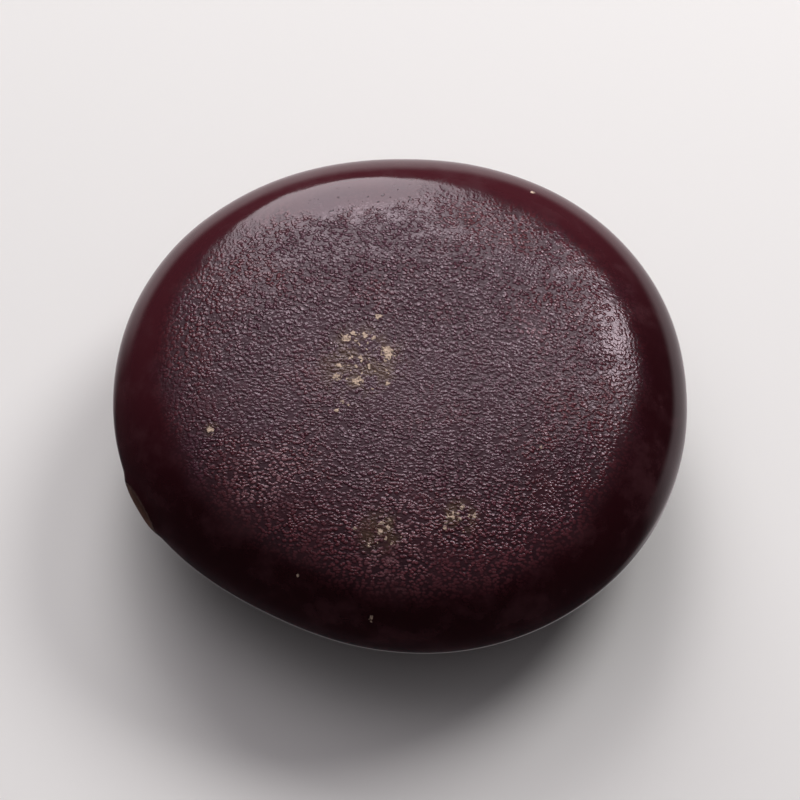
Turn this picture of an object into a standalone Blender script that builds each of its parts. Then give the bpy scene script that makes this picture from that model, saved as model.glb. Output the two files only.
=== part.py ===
"""African dream bean: the hard, flattened seed of Entada rheedei, grown as one piece.

The seed lies on its broad underside. X runs along its longest way across, Y across that, and Z
through its thickness. The origin is on the surface below, under the middle of the seed's box.
"""

import math

import bmesh
import bpy
from mathutils import Matrix, Vector

# Driving dimensions, in millimetres
LENGTH = 50.0
WIDTH = 47.3
THICKNESS = 17.8
CROWN_HEIGHT = 8.7
BELLY_DEPTH = 9.25
REST_SPOT_CUT = 0.15

# Outline from above: a power of 2 is an ellipse, and a higher one is squarer
OUTLINE_POWER = 2.1
FLAT_SIDE_ANGLE = 237.0
FLAT_SIDE_SPREAD = 29.0
FLAT_SIDE_SHARE = 0.062

# Section from the middle to the rim: a higher power gives a flatter face and a rounder shoulder
SECTION_POWER = 3.3
SHOULDER_SHARE = 0.85
RIM_WAVE = 0.25
RIM_WAVE_ANGLE = 40.0

# Low swellings and dips of the two faces: place in X and Y, spread, and height, in millimetres
CROWN_LUMPS = (
    (18.7, 4.4, 4.2, 0.22),
    (13.8, 5.2, 3.2, -0.10),
    (2.0, 14.0, 6.0, 0.12),
    (-8.0, -7.0, 8.0, -0.12),
)
BELLY_LUMPS = (
    (-14.0, 9.0, 6.0, 0.20),
    (13.0, -10.0, 6.5, 0.16),
    (15.0, 10.0, 5.0, -0.14),
)
LUMP_FADE_START = 0.80

# The hilum, the oval scar where the seed hung in its pod, half-way up the rim
HILUM_ANGLE = 205.0
HILUM_HALF_LENGTH = 2.4
HILUM_HALF_WIDTH = 1.35
COLLAR_HEIGHT = 0.26
COLLAR_SPREAD = 0.38
PIT_DEPTH = 0.34
PIT_FLOOR = 0.35
PIT_EDGE = 0.95

# Mesh: squares along a face's side, and rows of squares round the rim
FACE_SQUARES = 32
RIM_ROWS = 12
FINE_RINGS = (5.0, 3.6)

MM = 0.001
SEED_COLOUR = "#45252A"
SEED_ROUGHNESS = 0.38
SEED_IOR = 1.47

FACE_SHOULDER_TURN = math.acos(SHOULDER_SHARE ** (SECTION_POWER / 2))
ON_RIM = 1.0 - 1e-6


def clear_scene():
    """Remove the objects that the open file starts with."""
    for obj in list(bpy.context.scene.objects):
        bpy.data.objects.remove(obj)


def smooth_step(low, high, value):
    """Go smoothly from 0 at low to 1 at high."""
    share = min(1.0, max(0.0, (value - low) / (high - low)))
    return share * share * (3.0 - 2.0 * share)


def rim_radius(angle):
    """Distance from the middle to the rim, seen from above, at an angle from +X."""
    across = abs(math.cos(angle)) / (LENGTH / 2)
    along = abs(math.sin(angle)) / (WIDTH / 2)
    oval = (across ** OUTLINE_POWER + along ** OUTLINE_POWER) ** (-1 / OUTLINE_POWER)
    off_flat_side = (math.degrees(angle) % 360 - FLAT_SIDE_ANGLE) / FLAT_SIDE_SPREAD
    return oval * (1 - FLAT_SIDE_SHARE * math.exp(-off_flat_side ** 2))


def lump_height(lumps, x, y, share):
    """Sum of a face's swellings at a point, fading out before the rim."""
    height = 0.0
    for lump_x, lump_y, spread, rise in lumps:
        away = ((x - lump_x) ** 2 + (y - lump_y) ** 2) / spread ** 2
        height += rise * math.exp(-away)
    return height * (1 - smooth_step(LUMP_FADE_START, 1.0, share))


def hilum_relief(along, up):
    """Height of the scar's collar and pit over the rim, at a point measured from its middle."""
    ring = math.hypot(along / HILUM_HALF_LENGTH, up / HILUM_HALF_WIDTH)
    collar = COLLAR_HEIGHT * math.exp(-((ring - 1) / COLLAR_SPREAD) ** 2)
    pit = PIT_DEPTH * (1 - smooth_step(PIT_FLOOR, PIT_EDGE, ring))
    return collar - pit


def seed_point(cube_point):
    """Place a point of the surface of the cube from -1 to 1 on the seed, in millimetres."""
    x, y, z = cube_point
    disc = Vector((x * math.sqrt(1 - y * y / 2), y * math.sqrt(1 - x * x / 2)))
    angle = math.atan2(disc.y, disc.x)
    if disc.length < ON_RIM:
        share = disc.length * SHOULDER_SHARE
        rise = math.copysign(math.sqrt(1 - share ** SECTION_POWER), z)
    else:
        share = math.cos(z * FACE_SHOULDER_TURN) ** (2 / SECTION_POWER)
        rise = math.sin(z * FACE_SHOULDER_TURN)
    radius = rim_radius(angle) * share
    wave = RIM_WAVE * math.cos(2 * angle - math.radians(RIM_WAVE_ANGLE)) * share ** 4
    if rise > 0:
        height = CROWN_HEIGHT * rise
        lumps = lump_height(CROWN_LUMPS, radius * math.cos(angle), radius * math.sin(angle), share)
    else:
        height = BELLY_DEPTH * rise
        lumps = -lump_height(BELLY_LUMPS, radius * math.cos(angle), radius * math.sin(angle), share)
    off_hilum = (math.degrees(angle) - HILUM_ANGLE + 180) % 360 - 180
    radius += hilum_relief(math.radians(off_hilum) * radius, height)
    height = max(height + lumps + wave, REST_SPOT_CUT - BELLY_DEPTH)
    return Vector((radius * math.cos(angle), radius * math.sin(angle), height))


def hilum_middle():
    """Where the scar sits on the rim."""
    angle = math.radians(HILUM_ANGLE)
    return Vector((rim_radius(angle) * math.cos(angle), rim_radius(angle) * math.sin(angle), 0))


def gridded_cube():
    """Make a cube from -1 to 1 whose faces are grids, with fewer rows up its sides."""
    seed = bmesh.new()
    bmesh.ops.create_cube(seed, size=2.0)
    for axis, squares in ((2, RIM_ROWS), (0, FACE_SQUARES), (1, FACE_SQUARES)):
        edges = [e for e in seed.edges if abs(e.verts[0].co[axis] - e.verts[1].co[axis]) > 1.9]
        bmesh.ops.subdivide_edges(seed, edges=edges, cuts=squares - 1, use_grid_fill=True)
    return seed


def refine_at_hilum(seed):
    """Halve the squares near the scar once in each ring, so that its relief has enough points."""
    middle = hilum_middle()
    for reach in FINE_RINGS:
        near = [f for f in seed.faces if (seed_point(f.calc_center_median()) - middle).length < reach]
        edges = {e for f in near for e in f.edges}
        bmesh.ops.subdivide_edges(seed, edges=sorted(edges, key=lambda e: e.index), cuts=1,
                                  use_grid_fill=True)
        seed.edges.index_update()


def fit_to_size(seed):
    """Centre the seed over the origin and bring it to its exact length, width and thickness."""
    columns = list(zip(*(v.co for v in seed.verts)))
    low = Vector([min(column) for column in columns])
    high = Vector([max(column) for column in columns])
    middle = Vector(((low.x + high.x) / 2, (low.y + high.y) / 2, low.z))
    spans = high - low
    scale = Vector((LENGTH / spans.x, WIDTH / spans.y, THICKNESS / spans.z)) * MM
    bmesh.ops.translate(seed, verts=seed.verts, vec=-middle)
    bmesh.ops.transform(seed, verts=seed.verts, matrix=Matrix.Diagonal(scale).to_4x4())


def linear_colour(hex_code):
    """Turn an sRGB hex colour into the linear values that a shader takes."""
    channels = [int(hex_code[i:i + 2], 16) / 255 for i in (1, 3, 5)]
    linear = [c / 12.92 if c <= 0.04045 else ((c + 0.055) / 1.055) ** 2.4 for c in channels]
    return (*linear, 1.0)


def seed_coat():
    """Material of the polished, dark red-brown seed coat."""
    material = bpy.data.materials.new("seed_coat")
    material.use_nodes = True
    shader = material.node_tree.nodes["Principled BSDF"]
    shader.inputs["Base Color"].default_value = linear_colour(SEED_COLOUR)
    shader.inputs["Roughness"].default_value = SEED_ROUGHNESS
    shader.inputs["Metallic"].default_value = 0.0
    shader.inputs["IOR"].default_value = SEED_IOR
    return material


def make_seed():
    """Shape the gridded cube into the seed and add it to the scene."""
    seed = gridded_cube()
    refine_at_hilum(seed)
    for vert in seed.verts:
        vert.co = seed_point(vert.co)
    bmesh.ops.triangulate(seed, faces=seed.faces, quad_method="SHORT_EDGE", ngon_method="BEAUTY")
    fit_to_size(seed)
    mesh = bpy.data.meshes.new("seed")
    seed.to_mesh(mesh)
    seed.free()
    mesh.shade_smooth()
    mesh.materials.append(seed_coat())
    obj = bpy.data.objects.new("seed", mesh)
    bpy.context.scene.collection.objects.link(obj)
    return obj


clear_scene()
make_seed()
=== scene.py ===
# %% [markdown]
# # An African dream bean on a pale floor
#
# The object is one large, hard, flattened seed. Its two broad faces have a fine leathery grain, and
# its rounded rim is smooth and glossy. The seed is lit from behind and above by soft boxes, as a
# small thing on a table by a window would be, so that the gloss draws its form.
#
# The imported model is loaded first. It fixes the seed's size and place, and everything made here
# keeps to its box.

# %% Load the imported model
import math

import bmesh
import bpy
from mathutils import Matrix, Vector, noise


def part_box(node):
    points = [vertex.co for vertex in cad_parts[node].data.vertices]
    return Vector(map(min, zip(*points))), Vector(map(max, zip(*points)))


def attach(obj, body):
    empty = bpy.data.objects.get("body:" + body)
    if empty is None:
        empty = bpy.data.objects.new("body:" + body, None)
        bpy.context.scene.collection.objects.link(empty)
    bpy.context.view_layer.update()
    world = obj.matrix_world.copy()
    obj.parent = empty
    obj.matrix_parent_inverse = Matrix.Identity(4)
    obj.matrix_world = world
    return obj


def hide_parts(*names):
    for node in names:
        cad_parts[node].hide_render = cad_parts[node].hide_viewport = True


MM = 0.001

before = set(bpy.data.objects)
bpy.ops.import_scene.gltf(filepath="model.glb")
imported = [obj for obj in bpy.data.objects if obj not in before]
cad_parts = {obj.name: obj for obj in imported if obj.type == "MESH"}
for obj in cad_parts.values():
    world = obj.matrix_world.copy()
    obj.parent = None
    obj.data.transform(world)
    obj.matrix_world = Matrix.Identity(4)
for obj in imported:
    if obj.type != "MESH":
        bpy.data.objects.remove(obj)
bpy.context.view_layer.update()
seed_low, seed_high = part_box("seed")
seed_middle = (seed_low + seed_high) / 2
seed_size = seed_high - seed_low
print("the seed measures", [round(side / MM, 2) for side in seed_size], "mm")

# %% [markdown]
# ## Camera
#
# The photograph looks down on the broad face, 28 degrees off its axis. A long lens from 35 cm away
# gives the same weak perspective. The lens is worked out from how wide the seed has to be in the
# 800 pixel frame, so the numbers stay meaningful if the seed's size changes.

# %% Place the camera
FRAME_PIXELS = 800
SEED_PIXELS = 573
CAMERA_ELEVATION = math.radians(62.0)
CAMERA_DISTANCE = 350 * MM
SENSOR_WIDTH_MM = 36.0

camera_data = bpy.data.cameras.new("photo_camera")
camera_data.sensor_width = SENSOR_WIDTH_MM
frame_width = seed_size.x * FRAME_PIXELS / SEED_PIXELS
camera_data.lens = SENSOR_WIDTH_MM * CAMERA_DISTANCE / frame_width
camera = bpy.data.objects.new("photo_camera", camera_data)
bpy.context.scene.collection.objects.link(camera)
towards_camera = Vector((0, -math.cos(CAMERA_ELEVATION), math.sin(CAMERA_ELEVATION)))
camera.location = seed_middle + towards_camera * CAMERA_DISTANCE
camera.rotation_euler = towards_camera.to_track_quat("Z", "Y").to_euler()
bpy.context.scene.camera = camera
print("lens", round(camera_data.lens, 1), "mm")

# %% [markdown]
# ## The form of the seed
#
# A seed like this has no flat faces, edges or straight lines, and its outline is close to an ellipse
# with one straighter side. Sculpting could make it, but a formula says what the form is: an outline
# from above, and a section from the middle to the rim. Both are superellipses, which are ellipses
# with a power other than 2. The low swellings and dips of each face are added to that.

# %% Sizes of the form, in millimetres
CROWN_HEIGHT = 8.7
BELLY_DEPTH = 9.25
REST_SPOT_CUT = 0.15
LENGTH = seed_size.x / MM
WIDTH = seed_size.y / MM

OUTLINE_POWER = 2.1
FLAT_SIDE_ANGLE = 237.0
FLAT_SIDE_SPREAD = 29.0
FLAT_SIDE_SHARE = 0.062

SECTION_POWER = 3.3
SHOULDER_SHARE = 0.85
SHOULDER_TURN = math.acos(SHOULDER_SHARE ** (SECTION_POWER / 2))
RIM_WAVE = 0.25
RIM_WAVE_ANGLE = 40.0
RIM_WAVE_POWER = 4

CROWN_LUMPS = (
    (18.7, 4.4, 4.2, 0.22),
    (13.8, 5.2, 3.2, -0.10),
    (2.0, 14.0, 6.0, 0.12),
    (-8.0, -7.0, 8.0, -0.12),
)
BELLY_LUMPS = (
    (-14.0, 9.0, 6.0, 0.20),
    (13.0, -10.0, 6.5, 0.16),
    (15.0, 10.0, 5.0, -0.14),
)
LUMP_FADE_START = 0.80


# %% Outline, section and swellings
def smooth_step(low, high, value):
    """Go smoothly from 0 at low to 1 at high."""
    share = min(1.0, max(0.0, (value - low) / (high - low)))
    return share * share * (3.0 - 2.0 * share)


def rim_radius(angle):
    """Distance from the middle to the rim, seen from above, at an angle from +X."""
    across = abs(math.cos(angle)) / (LENGTH / 2)
    along = abs(math.sin(angle)) / (WIDTH / 2)
    oval = (across ** OUTLINE_POWER + along ** OUTLINE_POWER) ** (-1 / OUTLINE_POWER)
    off_flat_side = (math.degrees(angle) % 360 - FLAT_SIDE_ANGLE) / FLAT_SIDE_SPREAD
    return oval * (1 - FLAT_SIDE_SHARE * math.exp(-off_flat_side ** 2))


def lump_height(lumps, x, y, share):
    """Sum of a face's swellings at a point, fading out before the rim."""
    height = 0.0
    for lump_x, lump_y, spread, rise in lumps:
        away = ((x - lump_x) ** 2 + (y - lump_y) ** 2) / spread ** 2
        height += rise * math.exp(-away)
    return height * (1 - smooth_step(LUMP_FADE_START, 1.0, share))


# %% [markdown]
# ## The hilum
#
# The hilum is the scar where the seed hung in its pod: a small oval pit on the rim with a raised
# collar and a narrow slit along it. It is real relief, so it is part of the form. It is measured in
# rings, where 1 is the crest of the collar.

# %% Sizes and relief of the hilum, in millimetres
HILUM_ANGLE = 205.0
HILUM_HALF_LENGTH = 2.4
HILUM_HALF_WIDTH = 1.35
COLLAR_HEIGHT = 0.26
COLLAR_SPREAD = 0.38
PIT_DEPTH = 0.34
PIT_FLOOR = 0.35
PIT_EDGE = 0.95
SLIT_DEPTH = 0.22
SLIT_HALF_WIDTH = 0.16
SLIT_END = 0.62
SLIT_FADE = 0.2


def hilum_place(angle, radius, height):
    """How far a point is from the middle of the hilum, along the rim and up it."""
    off_hilum = (math.degrees(angle) - HILUM_ANGLE + 180) % 360 - 180
    return math.radians(off_hilum) * radius, height


def hilum_ring(along, up):
    """Oval distance from the middle of the hilum, which is 1 on the crest of its collar."""
    return math.hypot(along / HILUM_HALF_LENGTH, up / HILUM_HALF_WIDTH)


def hilum_relief(along, up):
    """Height of the collar and the pit over the rim."""
    ring = hilum_ring(along, up)
    collar = COLLAR_HEIGHT * math.exp(-((ring - 1) / COLLAR_SPREAD) ** 2)
    pit = PIT_DEPTH * (1 - smooth_step(PIT_FLOOR, PIT_EDGE, ring))
    return collar - pit


def slit_relief(along, up):
    """Depth of the slit that runs along the floor of the pit."""
    ends = 1 - smooth_step(SLIT_END - SLIT_FADE, SLIT_END, abs(along) / HILUM_HALF_LENGTH)
    return -SLIT_DEPTH * ends * math.exp(-(up / SLIT_HALF_WIDTH) ** 2)


# %% [markdown]
# ## From a cube to the seed
#
# A ball with poles has pinched triangles where the eye rests, in the middle of the face. A cube whose
# faces are grids has none, and its squares stay nearly even when its top and bottom are mapped to
# discs and its sides to the rim. Each edge direction is subdivided on its own, so that the sides get
# fewer rows than the faces.

# %% Map the cube to the seed
SMALL_GAP = 1e-4
ON_RIM = 1.0 - 1e-6
CUBE_SIDE = 2.0
FACE_SQUARES = 174
RIM_ROWS = 46
FINE_REACH = 4.2


def seed_point(cube_point):
    """Place a point of the cube from -1 to 1 on the seed: its place, share of the radius and ring."""
    x, y, z = cube_point
    disc = Vector((x * math.sqrt(1 - y * y / 2), y * math.sqrt(1 - x * x / 2)))
    angle = math.atan2(disc.y, disc.x)
    if disc.length < ON_RIM:
        share = disc.length * SHOULDER_SHARE
        rise = math.copysign(math.sqrt(1 - share ** SECTION_POWER), z)
    else:
        share = math.cos(z * SHOULDER_TURN) ** (2 / SECTION_POWER)
        rise = math.sin(z * SHOULDER_TURN)
    radius = rim_radius(angle) * share
    wave = RIM_WAVE * math.cos(2 * angle - math.radians(RIM_WAVE_ANGLE)) * share ** RIM_WAVE_POWER
    if rise > 0:
        height = CROWN_HEIGHT * rise
        lumps = lump_height(CROWN_LUMPS, radius * math.cos(angle), radius * math.sin(angle), share)
    else:
        height = BELLY_DEPTH * rise
        lumps = -lump_height(BELLY_LUMPS, radius * math.cos(angle), radius * math.sin(angle), share)
    along, up = hilum_place(angle, radius, height)
    radius += hilum_relief(along, up) + slit_relief(along, up)
    height = max(height + lumps + wave, REST_SPOT_CUT - BELLY_DEPTH)
    place = Vector((radius * math.cos(angle), radius * math.sin(angle), height))
    return place, share, hilum_ring(along, up)


def gridded_cube():
    """Make a cube from -1 to 1 whose faces are grids, with fewer rows up its sides."""
    cube = bmesh.new()
    bmesh.ops.create_cube(cube, size=CUBE_SIDE)
    for axis, squares in ((2, RIM_ROWS), (0, FACE_SQUARES), (1, FACE_SQUARES)):
        edges = [e for e in cube.edges
                 if abs(e.verts[0].co[axis] - e.verts[1].co[axis]) > CUBE_SIDE - SMALL_GAP]
        bmesh.ops.subdivide_edges(cube, edges=edges, cuts=squares - 1, use_grid_fill=True)
    return cube


def refine_at_hilum(cube):
    """Halve the squares near the hilum, so that its slit has enough points."""
    angle = math.radians(HILUM_ANGLE)
    middle = Vector((math.cos(angle), math.sin(angle), 0)) * rim_radius(angle)
    near = [f for f in cube.faces
            if (seed_point(f.calc_center_median())[0] - middle).length < FINE_REACH]
    edges = {e for f in near for e in f.edges}
    bmesh.ops.subdivide_edges(cube, edges=sorted(edges, key=lambda e: e.index), cuts=1,
                              use_grid_fill=True)


# %% Shape the seed
seed_mesh = gridded_cube()
refine_at_hilum(seed_mesh)
share_layer = seed_mesh.verts.layers.float.new("share")
ring_layer = seed_mesh.verts.layers.float.new("ring")
for vert in seed_mesh.verts:
    vert.co, vert[share_layer], vert[ring_layer] = seed_point(vert.co)
print(len(seed_mesh.verts), "points on the seed")


# %% [markdown]
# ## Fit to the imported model
#
# The relief below is fine, so the form is brought to the exact box first, in millimetres round its
# own middle. It is moved to its place at the end.

# %% Fit the form to the box
def span_of(verts):
    """Lowest and highest corner of some points."""
    columns = list(zip(*(v.co for v in verts)))
    return Vector([min(c) for c in columns]), Vector([max(c) for c in columns])


form_low, form_high = span_of(seed_mesh.verts)
bmesh.ops.translate(seed_mesh, verts=seed_mesh.verts, vec=-(form_low + form_high) / 2)
fit = Vector([seed_size[i] / MM / (form_high[i] - form_low[i]) for i in range(3)])
bmesh.ops.transform(seed_mesh, verts=seed_mesh.verts, matrix=Matrix.Diagonal(fit).to_4x4())
print("fitted by", [round(f, 4) for f in fit])

# %% [markdown]
# ## Relief of the coat
#
# The coat shrank a little as the seed dried. That left three things that an eye reads as relief: slow
# waves, pebbles of about two thirds of a millimetre on the faces, and wrinkles that run with the rim
# where the face turns over. A shallow groove runs round the rim, where the halves of the seed meet.
# The points are moved along the surface's own direction. The finest grain is too small for the mesh,
# so it comes later, in the material.

# %% Waves, pebbles, wrinkles and groove
SLOW_WAVE_LENGTH = 6.5
SLOW_WAVE_HEIGHT = 0.030
PEBBLE_SIZE = 0.65
PEBBLE_HEIGHT = 0.005
PEBBLE_EDGE = 0.5
WRINKLE_LENGTH = 2.6
WRINKLE_WIDTH = 0.65
WRINKLE_HEIGHT = 0.006
WRINKLE_BAND = (0.60, 0.74, 0.84, 0.90)
FACE_EDGE = (0.80, 0.89)
PATCH_LENGTH = 4.0
PATCH_EDGE = (-0.45, 0.35)
OTHER_FACE = 50.0
GROOVE_DEPTH = 0.035
GROOVE_HALF_WIDTH = 0.45
GROOVE_START = 0.97


def coat_relief(place, share):
    """Height of the coat's relief at a point of the seed."""
    on_face = 1 - smooth_step(*FACE_EDGE, share)
    height = SLOW_WAVE_HEIGHT * noise.noise(place / SLOW_WAVE_LENGTH)
    swirl = noise.noise(place / PATCH_LENGTH)
    patchy = smooth_step(*PATCH_EDGE, swirl)
    nearest = noise.voronoi(place / PEBBLE_SIZE)[0][0]
    height += PEBBLE_HEIGHT * on_face * patchy * (PEBBLE_EDGE - nearest)
    in_band = smooth_step(*WRINKLE_BAND[:2], share) * (1 - smooth_step(*WRINKLE_BAND[2:], share))
    if in_band > 0:
        turn = math.atan2(place.y, place.x)
        out = math.hypot(place.x, place.y)
        around = Vector((math.cos(turn), math.sin(turn), 0)) * (LENGTH / 2 / WRINKLE_LENGTH)
        around.z = out / WRINKLE_WIDTH + swirl + math.copysign(OTHER_FACE, place.z)
        height += WRINKLE_HEIGHT * in_band * noise.noise(around)
    groove = math.exp(-(place.z / GROOVE_HALF_WIDTH) ** 2) * smooth_step(GROOVE_START, 1.0, share)
    return height - GROOVE_DEPTH * groove


seed_mesh.normal_update()
floor_level = min(v.co.z for v in seed_mesh.verts)
reliefs = []
for vert in seed_mesh.verts:
    if vert.co.z > floor_level + SMALL_GAP:
        reliefs.append(coat_relief(vert.co, vert[share_layer]))
        vert.co += vert.normal * reliefs[-1]
        vert.co.z = max(vert.co.z, floor_level)
print("relief from", round(min(reliefs), 3), "to", round(max(reliefs), 3), "mm")

# %% Put the seed in its place
bmesh.ops.transform(seed_mesh, verts=seed_mesh.verts,
                    matrix=Matrix.Translation(seed_middle) @ Matrix.Scale(MM, 4))
bmesh.ops.triangulate(seed_mesh, faces=seed_mesh.faces, quad_method="SHORT_EDGE")
coat_data = bpy.data.meshes.new("seed_coat")
seed_mesh.to_mesh(coat_data)
seed_mesh.free()
coat_data.shade_smooth()
coat = bpy.data.objects.new("seed_coat", coat_data)
bpy.context.scene.collection.objects.link(coat)
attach(coat, "root")
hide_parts("seed")
print(len(coat_data.polygons), "triangles")


# %% [markdown]
# ## Tools for the materials
#
# Colours are written as sRGB hex values, as a paint chart or a picture editor gives them, and turned
# to linear values here. One function adds a node. Its inputs are values or other nodes' outputs, in
# the order or under the names that the node shows, and its settings are the node's properties.
#
# Most marks fade in and out over a smooth ramp. A ramp is written as where it starts and ends, and
# then its values there, which are 0 and 1 where none are given.

# %% Colours and nodes
SMOOTH = {"interpolation_type": "SMOOTHSTEP"}


def linear_colour(hex_code):
    """Turn an sRGB hex colour into the linear values that a shader takes."""
    channels = [int(hex_code[i:i + 2], 16) / 255 for i in (1, 3, 5)]
    linear = [c / 12.92 if c <= 0.04045 else ((c + 0.055) / 1.055) ** 2.4 for c in channels]
    return (*linear, 1.0)


def add_node(tree, kind, inputs=(), **settings):
    """Add a node with its settings and its inputs, in order or by name, and return its outputs."""
    node = tree.nodes.new("ShaderNode" + kind)
    for name, value in settings.items():
        setattr(node, name, value)
    for name, value in inputs.items() if isinstance(inputs, dict) else enumerate(inputs):
        if isinstance(value, bpy.types.NodeSocket):
            tree.links.new(value, node.inputs[name])
        else:
            node.inputs[name].default_value = value
    return node.outputs


def new_material(name):
    """Make a material with only a Principled shader, and return it with its tree and shader."""
    material = bpy.data.materials.new(name)
    material.use_nodes = True
    return material, material.node_tree, material.node_tree.nodes["Principled BSDF"]


# %% [markdown]
# ## Seed coat: its places and its unevenness
#
# The real thing is a hard, dark red-brown seed coat, polished on the rim by handling and finely
# grained on the faces. Every mark on it has a place, so its material starts from the place on the seed
# in millimetres. The mesh carries how far out each point lies, from 0 in the middle to 1 on the rim,
# and the rings round the hilum.
#
# Nothing on a grown coat is even, so each kind of mark gets its own noise. Its first number is the
# size of the mark on the seed, in millimetres. The others say how much finer detail it has, and how
# strong that is.

# %% Places on the coat
UPPER_FACE = (9.0, 11.0)
UNEVENNESS = {
    "face edge": (5.0, 2.0, 0.5),
    "fine face edge": (1.1, 2.0, 0.5),
    "smooth edge": (1.6, 4.0, 0.7),
    "wavelet edge": (4.0, 2.0, 0.5),
    "mottle": (0.30, 1.0, 0.5),
    "patches": (2.2, 3.0, 0.5),
    "pits": (0.55, 1.5, 0.5),
    "blotches": (5.0, 3.0, 0.5),
    "flake edge": (0.3, 2.0, 0.6),
    "crumbs": (0.42, 1.0, 0.5),
    "stain": (1.3, 3.0, 0.5),
    "glints": (0.8, 3.0, 0.5),
    "hilum edge": (0.5, 2.0, 0.5),
    "polish": (2.2, 4.0, 0.5),
    "bloom": (3.2, 5.0, 0.6),
}

coat_material, tree, coat_shader = new_material("polished_seed_coat")
object_place = add_node(tree, "TexCoord")["Object"]
place_mm = add_node(tree, "Mapping", {"Vector": object_place, "Scale": (1 / MM,) * 3})[0]
x_mm, y_mm, z_mm = add_node(tree, "SeparateXYZ", [place_mm])
share = add_node(tree, "Attribute", attribute_name="share")["Fac"]
ring = add_node(tree, "Attribute", attribute_name="ring")["Fac"]
on_top = add_node(tree, "MapRange", [z_mm, *UPPER_FACE], **SMOOTH)[0]
uneven = {}
for mark, (size, detail, fine_share) in UNEVENNESS.items():
    uneven[mark] = add_node(tree, "TexNoise", {"Vector": place_mm, "Scale": 1 / size, "Detail": detail,
                                               "Roughness": fine_share})["Fac"]
print(len(uneven), "kinds of unevenness")

# %% [markdown]
# ## Seed coat: where the face ends
#
# The grain ends on the shoulder, near 0.85 of the way out, along a ragged line. A plain ring would
# look turned on a lathe. So noise of two sizes shifts that line, and the face reaches further out on
# the near side and less far on the far side.

# %% Edge of the face
SLOW_RAG = 0.07
FINE_RAG = 0.05
FAR_SHIFT = (8.0, 20.0, -0.06, 0.02)
NEAR_SHIFT = (-20.0, -8.0, -0.055, 0.0)
FACE_END = (0.77, 0.88, 1.0, 0.0)

slow_rag = add_node(tree, "Math", [uneven["face edge"], SLOW_RAG], operation="MULTIPLY")[0]
ragged = add_node(tree, "Math", [uneven["fine face edge"], FINE_RAG, slow_rag],
                  operation="MULTIPLY_ADD")[0]
far_shift = add_node(tree, "MapRange", [y_mm, *FAR_SHIFT], **SMOOTH)[0]
near_shift = add_node(tree, "MapRange", [y_mm, *NEAR_SHIFT], **SMOOTH)[0]
edge_place = share
for shift in (ragged, far_shift, near_shift):
    edge_place = add_node(tree, "Math", [edge_place, shift], operation="ADD")[0]
on_face = add_node(tree, "MapRange", [edge_place, *FACE_END], **SMOOTH)[0]
print(len(tree.nodes), "nodes up to the edge of the face")

# %% [markdown]
# ## Seed coat: grain
#
# The grain is a close net of flat-topped pebbles, about 0.3 mm across, with gaps between them that
# are painted dark, as painted shade.
# Each pebble leans its own way, so one catches the light and its neighbour misses it, and that gives
# the leathery sparkle. It is too fine for the mesh, so a texture of random cells gives the net. The
# distance from a cell's middle gives the dome, and the cell's random colour gives the lean.

# %% Pebbles of the grain
PEBBLE_ACROSS = 0.33
DOME_TOP = 1.2
DOME_FALL = 3.0
PEBBLE_LEAN = 7.0
SWIRL_SIZE = 0.9
SWIRL_REACH = 0.4

swirl = add_node(tree, "TexNoise", {"Vector": place_mm, "Scale": 1 / SWIRL_SIZE})["Color"]
swirled = add_node(tree, "VectorMath", [swirl, (SWIRL_REACH,) * 3, place_mm],
                   operation="MULTIPLY_ADD")[0]


def pebble_domes(stretch):
    """Height of pebbles drawn out by these scales: about 1 on their tops, and 0 between them."""
    drawn_out = add_node(tree, "Mapping", {"Vector": swirled, "Scale": stretch})[0]
    cells = add_node(tree, "TexVoronoi", {"Vector": drawn_out, "Scale": 1 / PEBBLE_ACROSS})
    away = cells["Distance"]
    away_squared = add_node(tree, "Math", [away, away], operation="MULTIPLY")[0]
    dome = add_node(tree, "Math", [away_squared, -DOME_FALL, DOME_TOP], operation="MULTIPLY_ADD",
                    use_clamp=True)[0]
    from_middle = add_node(tree, "VectorMath", [drawn_out, cells["Position"]], operation="SUBTRACT")[0]
    lean_range = [cells["Color"], (PEBBLE_LEAN,) * 3, (-PEBBLE_LEAN / 2,) * 3]
    own_lean = add_node(tree, "VectorMath", lean_range, operation="MULTIPLY_ADD")[0]
    lean = add_node(tree, "VectorMath", [from_middle, own_lean], operation="DOT_PRODUCT")["Value"]
    return add_node(tree, "Math", [dome, lean, dome], operation="MULTIPLY_ADD")[0]


# %% [markdown]
# On the near side the pebbles are drawn out sideways into short wavelets, and on the far shoulder the
# coat has streaks towards the rim instead. The pebbles' tops aren't quite even, which the mottle gives.

# %% Wavelets, streaks and mottle
DOT_STRETCH = (1.0, 1.05, 1.0)
WAVELET_STRETCH = (0.95, 1.35, 1.0)
WAVELET_RAG = 12.0
WAVELET_SIDE = (-6.0, 12.0, 1.0, 0.0)
STREAK_SIZE = 0.36
STREAK_STRETCH = (1.0, 0.5, 0.5)
STREAK_HEIGHT = (0.35, 0.65, 0.0, 0.8)
STREAK_SHARE = 0.7
SHOULDER_BAND = (0.66, 0.78)
FAR_SIDE = (4.0, 12.0)
MOTTLE_HEIGHT = 0.6

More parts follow.
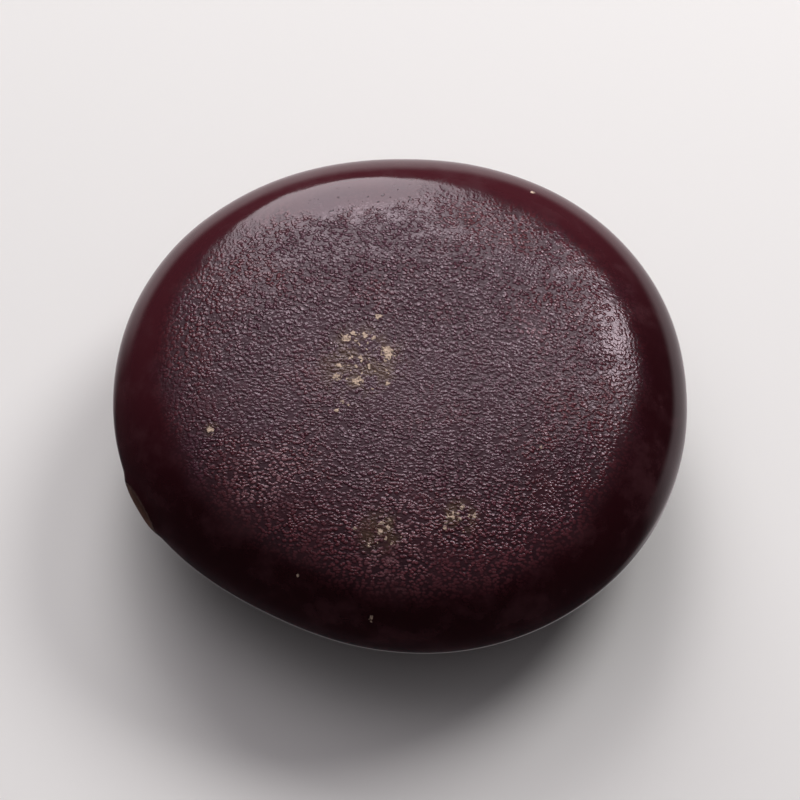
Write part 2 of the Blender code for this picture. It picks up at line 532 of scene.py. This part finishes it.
ragged_y = add_node(tree, "Math", [uneven["wavelet edge"], WAVELET_RAG, y_mm],
                    operation="MULTIPLY_ADD")[0]
on_near_side = add_node(tree, "MapRange", [ragged_y, *WAVELET_SIDE], **SMOOTH)[0]
dots = pebble_domes(DOT_STRETCH)
wavelets = pebble_domes(WAVELET_STRETCH)
domes = add_node(tree, "Mix", {0: on_near_side, 2: dots, 3: wavelets})[0]
on_shoulder = add_node(tree, "MapRange", [share, *SHOULDER_BAND, 0.0, STREAK_SHARE], **SMOOTH)[0]
on_far_side = add_node(tree, "MapRange", [y_mm, *FAR_SIDE], **SMOOTH)[0]
streak_share = add_node(tree, "Math", [on_shoulder, on_far_side], operation="MULTIPLY")[0]
streak_place = add_node(tree, "Mapping", {"Vector": swirled, "Scale": STREAK_STRETCH})[0]
streaks = add_node(tree, "TexNoise", {"Vector": streak_place, "Scale": 1 / STREAK_SIZE,
                                      "Detail": 1.0})["Fac"]
streaks = add_node(tree, "MapRange", [streaks, *STREAK_HEIGHT], **SMOOTH)[0]
raised = add_node(tree, "Mix", {0: streak_share, 2: domes, 3: streaks})[0]
raised = add_node(tree, "Math", [uneven["mottle"], MOTTLE_HEIGHT, raised], operation="MULTIPLY_ADD")[0]

# %% [markdown]
# In a few oval places the coat stayed smooth, with a few pits. Such a place is its middle, how far it
# reaches both ways, and how smooth it is. Elsewhere the grain is deeper in some patches than in
# others, and it fades out where the face ends. Its height is taken from its mean, so that it ends
# without a step.

# %% Smooth places and depth of the grain
SMOOTH_PLACES = (
    (-3.8, 16.4, 9.0, 3.4, 1.0),
    (16.5, 15.5, 3.0, 3.5, 1.0),
    (18.4, 4.4, 2.7, 5.4, 0.45),
)
SMOOTH_RAG = 1.8
SMOOTH_EDGE = (1.3, 2.0)
SMOOTHED_AWAY = 0.88
PATCH_DEPTH = (0.34, 0.60, 0.5, 1.0)
GRAIN_END = (0.70, 0.86, 1.0, 0.0)
GRAIN_MEAN = 0.85
PIT_PLACES = (0.66, 0.71)
PIT_DEPTH_SHARE = 0.5
TOP_OF_PEBBLE = (0.4, 1.2)


def smooth_place(middle_x, middle_y, reach_x, reach_y, smoothness):
    """Share of smoothness at an oval place of the upper face."""
    oval = add_node(tree, "Mapping", {"Vector": place_mm, "Scale": (1 / reach_x, 1 / reach_y, 0),
                                      "Location": (-middle_x / reach_x, -middle_y / reach_y, 0)})[0]
    away = add_node(tree, "VectorMath", [oval], operation="LENGTH")["Value"]
    away = add_node(tree, "Math", [uneven["smooth edge"], SMOOTH_RAG, away],
                    operation="MULTIPLY_ADD")[0]
    return add_node(tree, "MapRange", [away, *SMOOTH_EDGE, smoothness, 0.0], **SMOOTH)[0]


smooth_share = 0.0
for oval_place in SMOOTH_PLACES:
    smooth_share = add_node(tree, "Math", [smooth_place(*oval_place), smooth_share],
                            operation="MAXIMUM")[0]
smooth_share = add_node(tree, "Math", [smooth_share, on_top], operation="MULTIPLY")[0]
patches = add_node(tree, "MapRange", [uneven["patches"], *PATCH_DEPTH], **SMOOTH)[0]
grained = add_node(tree, "Math", [smooth_share, -SMOOTHED_AWAY, 1.0], operation="MULTIPLY_ADD")[0]
grain_share = add_node(tree, "Math", [patches, grained], operation="MULTIPLY")[0]
tops = add_node(tree, "MapRange", [raised, *TOP_OF_PEBBLE], **SMOOTH)[0]
grain_fade = add_node(tree, "MapRange", [edge_place, *GRAIN_END], **SMOOTH)[0]
pits = add_node(tree, "MapRange", [uneven["pits"], *PIT_PLACES], **SMOOTH)[0]
for pit_share in (smooth_share, grain_fade):
    pits = add_node(tree, "Math", [pits, pit_share], operation="MULTIPLY")[0]
grain = add_node(tree, "Math", [raised, GRAIN_MEAN], operation="SUBTRACT")[0]
for depth_share in (grain_share, grain_fade):
    grain = add_node(tree, "Math", [grain, depth_share], operation="MULTIPLY")[0]
grain = add_node(tree, "Math", [pits, -PIT_DEPTH_SHARE, grain], operation="MULTIPLY_ADD")[0]
print(len(tree.nodes), "nodes up to the grain")

# %% [markdown]
# ## Seed coat: colour
#
# The coat is dark, so most of what is seen on it is gloss, and its colours lie close together. The
# tops of the pebbles are violet-brown, with slow blotches of redder brown that get thicker towards the
# rim. On the near side the tops are a paler rose-brown, which is a painted sheen, light painted into
# the colour. They darken a little where the face ends, and the gaps and pits are darker still, which
# is painted shade in these hollows. The smooth rim is a deep red, a little paler on the far side and
# darker on the near side, which is painted light and shade, with a faint bloom in patches. The
# colours are laid one over the other, as coats of stain are.

# %% Colour of the coat
VIOLET_TOP = linear_colour("#452530")
RED_TOP = linear_colour("#522429")
# A paler rose painted on the near side's tops, as a painted sheen.
NEAR_SHEEN_ROSE = linear_colour("#643238")
# Gaps and pits: darker colours painted as shade in these hollows.
GAP_SHADE_BROWN = linear_colour("#2A1117")
PIT_SHADE_BLACK = linear_colour("#12080A")
RIM_RED = linear_colour("#24090D")
# Paler red painted on the far rim as painted light; the near rim keeps the darker red as painted shade.
LIT_RIM_RED = linear_colour("#3E171D")
BLOTCH_OUTWARDS = 0.35
BLOTCHES = (0.58, 0.88)
NEAR_SHEEN_RAG = 8.0
NEAR_SHEEN_SIDE = (-17.0, -6.0, 1.0, 0.0)
TOPS_FADE = (0.76, 0.92, 1.0, 0.6)
UNGRAINED_TOP = 0.25
LIT_RIM_TURN = -0.35
LIT_RIM_SIDE = (-10.0, 14.0)
BLOOM_ROSE = linear_colour("#4A2C30")
BLOOM = (0.44, 0.70, 0.0, 0.4)

blotches = add_node(tree, "Math", [share, BLOTCH_OUTWARDS, uneven["blotches"]],
                    operation="MULTIPLY_ADD")[0]
blotches = add_node(tree, "MapRange", [blotches, *BLOTCHES], **SMOOTH)[0]
# Painted sheen: the tops on the near side turn a paler rose.
near_sheen_share = add_node(tree, "Math", [uneven["face edge"], NEAR_SHEEN_RAG, y_mm],
                      operation="MULTIPLY_ADD")[0]
near_sheen_share = add_node(tree, "MapRange", [near_sheen_share, *NEAR_SHEEN_SIDE], **SMOOTH)[0]
tops_fade = add_node(tree, "MapRange", [edge_place, *TOPS_FADE], **SMOOTH)[0]
top_share = add_node(tree, "Mix", {0: grain_share, 2: UNGRAINED_TOP, 3: tops})[0]
# The gaps' share takes the painted shade colour, more of it where the face ends.
gaps = add_node(tree, "Math", [top_share, tops_fade], operation="MULTIPLY")[0]
gaps = add_node(tree, "Math", [1.0, gaps], operation="SUBTRACT")[0]
face_layers = ((blotches, RED_TOP), (near_sheen_share, NEAR_SHEEN_ROSE), (gaps, GAP_SHADE_BROWN), (pits, PIT_SHADE_BLACK))
face_colour = VIOLET_TOP
for part, colour in face_layers:
    face_colour = add_node(tree, "Mix", {0: part, 6: face_colour, 7: colour}, data_type="RGBA")[2]
# Painted light and shade on the rim: paler towards the far side and the left, darker towards the near
# side and the right.
lit_rim_share = add_node(tree, "Math", [x_mm, LIT_RIM_TURN, y_mm], operation="MULTIPLY_ADD")[0]
lit_rim_share = add_node(tree, "MapRange", [lit_rim_share, *LIT_RIM_SIDE], **SMOOTH)[0]
rim_colour = add_node(tree, "Mix", {0: lit_rim_share, 6: RIM_RED, 7: LIT_RIM_RED}, data_type="RGBA")[2]
bloom = add_node(tree, "MapRange", [uneven["bloom"], *BLOOM], **SMOOTH)[0]
rim_colour = add_node(tree, "Mix", {0: bloom, 6: rim_colour, 7: BLOOM_ROSE}, data_type="RGBA")[2]
coat_colour = add_node(tree, "Mix", {0: on_face, 6: rim_colour, 7: face_colour}, data_type="RGBA")[2]
print(len(tree.nodes), "nodes up to the coat's own colour")

# %% [markdown]
# ## Seed coat: flecks of dried pod
#
# Cream flakes of the pod's inner skin stick to the face in a few groups, with crumbs between them and
# an olive-brown stain round them. A flake is a place and a width in millimetres, with a ragged edge
# from noise, which looks torn. Crumbs come from noise alone, thicker in the middle of a group, and a
# group is its middle and its reach.

# %% Flakes and crumbs
FLAKES = (
    (-1.1, -0.2, 1.3), (-4.6, 1.3, 0.8), (-4.0, 1.7, 0.6), (-2.9, 1.6, 0.7), (-2.3, 1.3, 0.5),
    (-1.9, 3.4, 0.6), (-3.7, -2.9, 0.9), (-5.2, -1.3, 0.5), (-5.4, -2.4, 0.7), (-1.1, -3.1, 0.5),
    (-4.9, -4.8, 0.4), (-4.4, -5.1, 0.3), (-5.3, -5.6, 0.4), (5.2, -14.4, 0.4), (4.8, -14.9, 0.35),
    (6.3, -15.1, 0.45), (4.4, -15.3, 0.35), (3.8, -16.1, 0.4), (-0.9, -15.5, 0.35), (-1.0, -16.1, 0.4),
    (-1.7, -16.4, 0.45), (-2.6, -17.4, 0.4), (-3.8, -16.1, 0.3), (-16.1, -6.8, 0.5), (-2.4, -22.4, 0.3),
    (11.7, 17.9, 0.4), (-8.6, -19.2, 0.25), (11.9, -8.8, 0.3),
)
CRUMB_GROUPS = (
    (-3.2, -1.2, 5.4),
    (4.9, -15.2, 2.3),
    (-1.6, -16.4, 2.8),
    (-16.0, -6.8, 1.0),
)
CRUMB_CORE = 0.2
FLAKE_RAG = 3.4
FLAKE_END = (2.2, 2.7, 1.0, 0.0)
CRUMB_EDGE = 0.86
CRUMB_CROWDING = 0.24
CRUMB_SOFTNESS = 0.05
FAR_AWAY = 10.0

flat_place = add_node(tree, "Mapping", {"Vector": place_mm, "Scale": (1, 1, 0)})[0]


def spread_over(groups, core):
    """How deep in its nearest group a point is: 1 in the core, 0 beyond the reach."""
    depth = 0.0
    for middle_x, middle_y, reach in groups:
        away = add_node(tree, "VectorMath", [flat_place, (middle_x, middle_y, 0.0)],
                        operation="DISTANCE")["Value"]
        near = add_node(tree, "MapRange", [away, reach * core, reach, 1.0, 0.0], **SMOOTH)[0]
        depth = add_node(tree, "Math", [near, depth], operation="MAXIMUM")[0]
    return depth


nearest_flake = FAR_AWAY
for middle_x, middle_y, across in FLAKES:
    away = add_node(tree, "VectorMath", [flat_place, (middle_x, middle_y, 0.0)],
                    operation="DISTANCE")["Value"]
    away = add_node(tree, "Math", [away, 2 / across], operation="MULTIPLY")[0]
    nearest_flake = add_node(tree, "Math", [away, nearest_flake], operation="MINIMUM")[0]
flakes = add_node(tree, "Math", [uneven["flake edge"], FLAKE_RAG, nearest_flake],
                  operation="MULTIPLY_ADD")[0]
flakes = add_node(tree, "MapRange", [flakes, *FLAKE_END], **SMOOTH)[0]
crumb_zone = spread_over(CRUMB_GROUPS, CRUMB_CORE)
crumbs = add_node(tree, "Math", [crumb_zone, CRUMB_CROWDING, uneven["crumbs"]],
                  operation="MULTIPLY_ADD")[0]
crumbs = add_node(tree, "MapRange", [crumbs, CRUMB_EDGE, CRUMB_EDGE + CRUMB_SOFTNESS], **SMOOTH)[0]
flecks = add_node(tree, "Math", [flakes, crumbs], operation="MAXIMUM")[0]
print(len(FLAKES), "flakes and", len(CRUMB_GROUPS), "groups of crumbs")

# %% [markdown]
# The stain has no edge of its own, and it is mottled. In three more places the tops of the pebbles
# are painted a paler rose, as painted glints. All of these are on the upper face alone.

# %% Stain, painted glints and colour of the flecks
FLECK_CREAM = linear_colour("#B8A18C")
STAIN_OLIVE = linear_colour("#4A3826")
# Paler rose of the painted glints on the tops of the pebbles.
GLINT_ROSE = linear_colour("#7C585C")
STAIN_SPREAD = (0.0, 0.9)
STAIN_MOTTLE = (0.38, 0.62, 0.0, 0.75)
GLINT_PLACES = (
    (11.5, 2.4, 2.0),
    (-11.7, -11.3, 4.2),
    (-0.3, -17.4, 4.4),
)
GLINT_CORE = 0.3
GLINT_MOTTLE = (0.40, 0.60, 0.0, 0.7)

stain = add_node(tree, "MapRange", [crumb_zone, *STAIN_SPREAD], **SMOOTH)[0]
stain_mottle = add_node(tree, "MapRange", [uneven["stain"], *STAIN_MOTTLE], **SMOOTH)[0]
stain = add_node(tree, "Math", [stain, stain_mottle], operation="MULTIPLY")[0]
# Painted glints: in these places the tops of the pebbles are painted a paler rose.
painted_glints = spread_over(GLINT_PLACES, GLINT_CORE)
glint_mottle = add_node(tree, "MapRange", [uneven["glints"], *GLINT_MOTTLE], **SMOOTH)[0]
for glint_part in (tops, glint_mottle):
    painted_glints = add_node(tree, "Math", [painted_glints, glint_part], operation="MULTIPLY")[0]
flecks = add_node(tree, "Math", [flecks, on_top], operation="MULTIPLY")[0]
for part, colour in ((painted_glints, GLINT_ROSE), (stain, STAIN_OLIVE)):
    part = add_node(tree, "Math", [part, on_top], operation="MULTIPLY")[0]
    coat_colour = add_node(tree, "Mix", {0: part, 6: coat_colour, 7: colour}, data_type="RGBA")[2]
coat_colour = add_node(tree, "Mix", {0: flecks, 6: coat_colour, 7: FLECK_CREAM}, data_type="RGBA")[2]
print(len(tree.nodes), "nodes up to the flecks")

# %% [markdown]
# ## Seed coat: gloss and bump
#
# Handling polished the rim, so it is the glossiest. The face is a little duller, less so in its smooth
# places, and its gaps are duller still. The flecks and the bare tissue of the hilum are matt, and the
# hilum is darker in its pit than on its mottled collar. The grain and the thickness of the flecks
# are the bump. A seed's wax reflects a little less than a varnish does, so the index of refraction
# is under 1.5, and the pigment in it tints the gloss towards rose. These two don't change over the
# coat, so they are set on the shader itself.

# %% Gloss and bump of the coat
COLLAR_BROWN = linear_colour("#5F4133")
HILUM_PIT_BROWN = linear_colour("#2C1914")
HILUM_RAG = 0.3
HILUM_END = (1.0, 1.35, 1.0, 0.0)
HILUM_MOTTLE = 0.7
COLLAR_SHARE = 0.7
RIM_ROUGHNESS = 0.07
RIM_UNEVENNESS = 0.05
FACE_ROUGHNESS = 0.09
FACE_UNEVENNESS = 0.10
GAP_DULLNESS = 0.20
SMOOTH_POLISH = 0.3
FLECK_ROUGHNESS = 0.75
HILUM_ROUGHNESS = 0.8
FLECK_HEIGHT = 0.8
GRAIN_DEPTH_MM = 0.075
COAT_IOR = 1.43
GLOSS_TINT = (1.0, 0.82, 0.89, 1.0)

at_hilum = add_node(tree, "Math", [uneven["hilum edge"], HILUM_RAG, ring],
                    operation="MULTIPLY_ADD")[0]
at_hilum = add_node(tree, "MapRange", [at_hilum, *HILUM_END], **SMOOTH)[0]
on_collar = add_node(tree, "MapRange", [ring, PIT_FLOOR, PIT_EDGE, 0.0, COLLAR_SHARE], **SMOOTH)[0]
on_collar = add_node(tree, "Math", [uneven["hilum edge"], HILUM_MOTTLE, on_collar],
                     operation="MULTIPLY_ADD")[0]
hilum_colour = add_node(tree, "Mix", {0: on_collar, 6: HILUM_PIT_BROWN, 7: COLLAR_BROWN},
                        data_type="RGBA")[2]
coat_colour = add_node(tree, "Mix", {0: at_hilum, 6: coat_colour, 7: hilum_colour}, data_type="RGBA")[2]
face_dullness = add_node(tree, "Math", [uneven["polish"], FACE_UNEVENNESS, FACE_ROUGHNESS],
                         operation="MULTIPLY_ADD")[0]
gap_share = add_node(tree, "Math", [1.0, tops], operation="SUBTRACT")[0]
gap_share = add_node(tree, "Math", [gap_share, grain_share], operation="MULTIPLY")[0]
face_dullness = add_node(tree, "Math", [gap_share, GAP_DULLNESS, face_dullness],
                         operation="MULTIPLY_ADD")[0]
dull_share = add_node(tree, "Math", [smooth_share, -SMOOTH_POLISH, on_face], operation="MULTIPLY_ADD",
                      use_clamp=True)[0]
roughness = add_node(tree, "Math", [uneven["polish"], RIM_UNEVENNESS, RIM_ROUGHNESS],
                     operation="MULTIPLY_ADD")[0]
dull_layers = ((dull_share, face_dullness), (flecks, FLECK_ROUGHNESS), (at_hilum, HILUM_ROUGHNESS))
for part, dullness in dull_layers:
    roughness = add_node(tree, "Mix", {0: part, 2: roughness, 3: dullness})[0]
bump_height = add_node(tree, "Math", [flecks, FLECK_HEIGHT, grain], operation="MULTIPLY_ADD")[0]
bump = add_node(tree, "Bump", {"Height": bump_height, "Distance": GRAIN_DEPTH_MM * MM,
                               "Strength": 1.0})[0]
tree.links.new(coat_colour, coat_shader.inputs["Base Color"])
tree.links.new(roughness, coat_shader.inputs["Roughness"])
tree.links.new(bump, coat_shader.inputs["Normal"])
coat_shader.inputs["IOR"].default_value = COAT_IOR
coat_shader.inputs["Specular Tint"].default_value = GLOSS_TINT
coat_data.materials.append(coat_material)
print(len(tree.nodes), "nodes in the seed coat")

# %% [markdown]
# ## Floor
#
# The seed lies on a plain, pale, matt floor, as a sheet of studio paper is. It is far larger than the
# view, so that its edge never shows. In a glossy rim a pale sheet would show as a pale band and hide
# how dark the rim is. A photographer keeps it out with black cards, and here the floor is left out of
# reflections.

# %% Make the floor
FLOOR_SIZE = 4.0
FLOOR_COLOUR = linear_colour("#E2E0DB")
FLOOR_ROUGHNESS = 0.9

floor_mesh = bmesh.new()
bmesh.ops.create_grid(floor_mesh, x_segments=1, y_segments=1, size=FLOOR_SIZE / 2,
                      matrix=Matrix.Translation((0, 0, seed_low.z)))
floor_data = bpy.data.meshes.new("floor")
floor_mesh.to_mesh(floor_data)
floor_mesh.free()
floor = bpy.data.objects.new("floor", floor_data)
bpy.context.scene.collection.objects.link(floor)
floor_material, _, floor_shader = new_material("matt_studio_paper")
floor_shader.inputs["Base Color"].default_value = FLOOR_COLOUR
floor_shader.inputs["Roughness"].default_value = FLOOR_ROUGHNESS
floor_data.materials.append(floor_material)
floor.visible_glossy = False
print("floor", FLOOR_SIZE, "m across")

# %% [markdown]
# ## Light
#
# On a dark glossy thing, what is reflected is what is seen. Three oval soft boxes are placed behind the
# seed. The large low one gives the bright crescent on the far shoulder, the one over it gives the
# paler zone below the crescent, and the one at the right gives the patch on the right shoulder. A soft
# box's power is worked out from how bright its surface has to look, so its size can change without
# changing its brightness.

# %% Soft boxes
BOX_DISTANCE = 0.5
COOL_WHITE = (0.98, 0.97, 1.0)


def towards(azimuth, elevation):
    """Direction at these angles, in degrees, from +X towards +Y and up."""
    turn, tilt = math.radians(azimuth), math.radians(elevation)
    return Vector((math.cos(turn) * math.cos(tilt), math.sin(turn) * math.cos(tilt), math.sin(tilt)))


def add_soft_box(name, azimuth, elevation, wide, high, brightness):
    """Add an oval soft box seen from the seed in this direction and this large, in degrees."""
    light = bpy.data.lights.new(name, "AREA")
    light.shape = "ELLIPSE"
    light.size = 2 * BOX_DISTANCE * math.tan(math.radians(wide / 2))
    light.size_y = 2 * BOX_DISTANCE * math.tan(math.radians(high / 2))
    area = math.pi * light.size * light.size_y / 4
    light.energy = brightness * math.pi * area
    light.color = COOL_WHITE
    box = bpy.data.objects.new(name, light)
    bpy.context.scene.collection.objects.link(box)
    direction = towards(azimuth, elevation)
    box.location = seed_middle + direction * BOX_DISTANCE
    box.rotation_euler = direction.to_track_quat("Z", "Y").to_euler()
    box.visible_camera = False
    print(name, "gives", round(light.energy, 2), "W")


add_soft_box("back_box", azimuth=99, elevation=25, wide=37, high=44, brightness=4.4)
add_soft_box("right_box", azimuth=46, elevation=40, wide=28, high=18, brightness=14.5)
add_soft_box("upper_box", azimuth=92, elevation=42, wide=22, high=18, brightness=5.2)

# %% [markdown]
# ## Glow of the room
#
# The rest of the light is the world's own: a dark room with a dim ceiling, and a wide round glow
# above and behind the seed, which gives the veil over the face. Below the horizon on the far side it
# is pale, as a table there would be, and that gives the pale edge along the far rim. All of it
# depends on direction alone. The picture is shown in the standard view, which adds no film curve, so
# that dark colours stay as deep as they are mixed.

# %% Glow of the room
GLOW_PLACE = (106.0, 54.0)
GLOW_REACH = math.radians(42.0)
GLOW_CORE = math.radians(3.0)
GLOW_COLOUR = (1.30, 1.24, 1.34, 1.0)
CEILING_EDGE = (0.45, 0.95)
CEILING_COLOUR = (0.26, 0.25, 0.27, 1.0)
TABLE_PLACE = (70.0, 0.0)
TABLE_SIDES = (0.15, 0.5)
TABLE_EDGE = (-0.10, -0.32)
TABLE_COLOUR = (0.66, 0.60, 0.61, 1.0)
ROOM_COLOUR = (0.030, 0.027, 0.030, 1.0)

world = bpy.data.worlds.new("studio_room")
bpy.context.scene.world = world
world.use_nodes = True
room = world.node_tree
sight = add_node(room, "TexCoord")["Generated"]
upwards = add_node(room, "SeparateXYZ", [sight])[2]
facing_glow = add_node(room, "VectorMath", [sight, towards(*GLOW_PLACE)],
                       operation="DOT_PRODUCT")["Value"]
facing_table = add_node(room, "VectorMath", [sight, towards(*TABLE_PLACE)],
                        operation="DOT_PRODUCT")["Value"]
ceiling_share = add_node(room, "MapRange", [upwards, *CEILING_EDGE], **SMOOTH)[0]
glow_share = add_node(room, "MapRange", [facing_glow, math.cos(GLOW_REACH), math.cos(GLOW_CORE)],
                      **SMOOTH)[0]
table_share = add_node(room, "MapRange", [facing_table, *TABLE_SIDES], **SMOOTH)[0]
below = add_node(room, "MapRange", [upwards, *TABLE_EDGE], **SMOOTH)[0]
table_share = add_node(room, "Math", [table_share, below], operation="MULTIPLY")[0]
room_layers = ((ceiling_share, CEILING_COLOUR), (glow_share, GLOW_COLOUR), (table_share, TABLE_COLOUR))
glow = ROOM_COLOUR
for part, colour in room_layers:
    glow = add_node(room, "Mix", {0: part, 6: glow, 7: colour}, data_type="RGBA")[2]
room.links.new(glow, room.nodes["Background"].inputs["Color"])
bpy.context.scene.view_settings.view_transform = "Standard"
print(len(room.nodes), "nodes in the room")
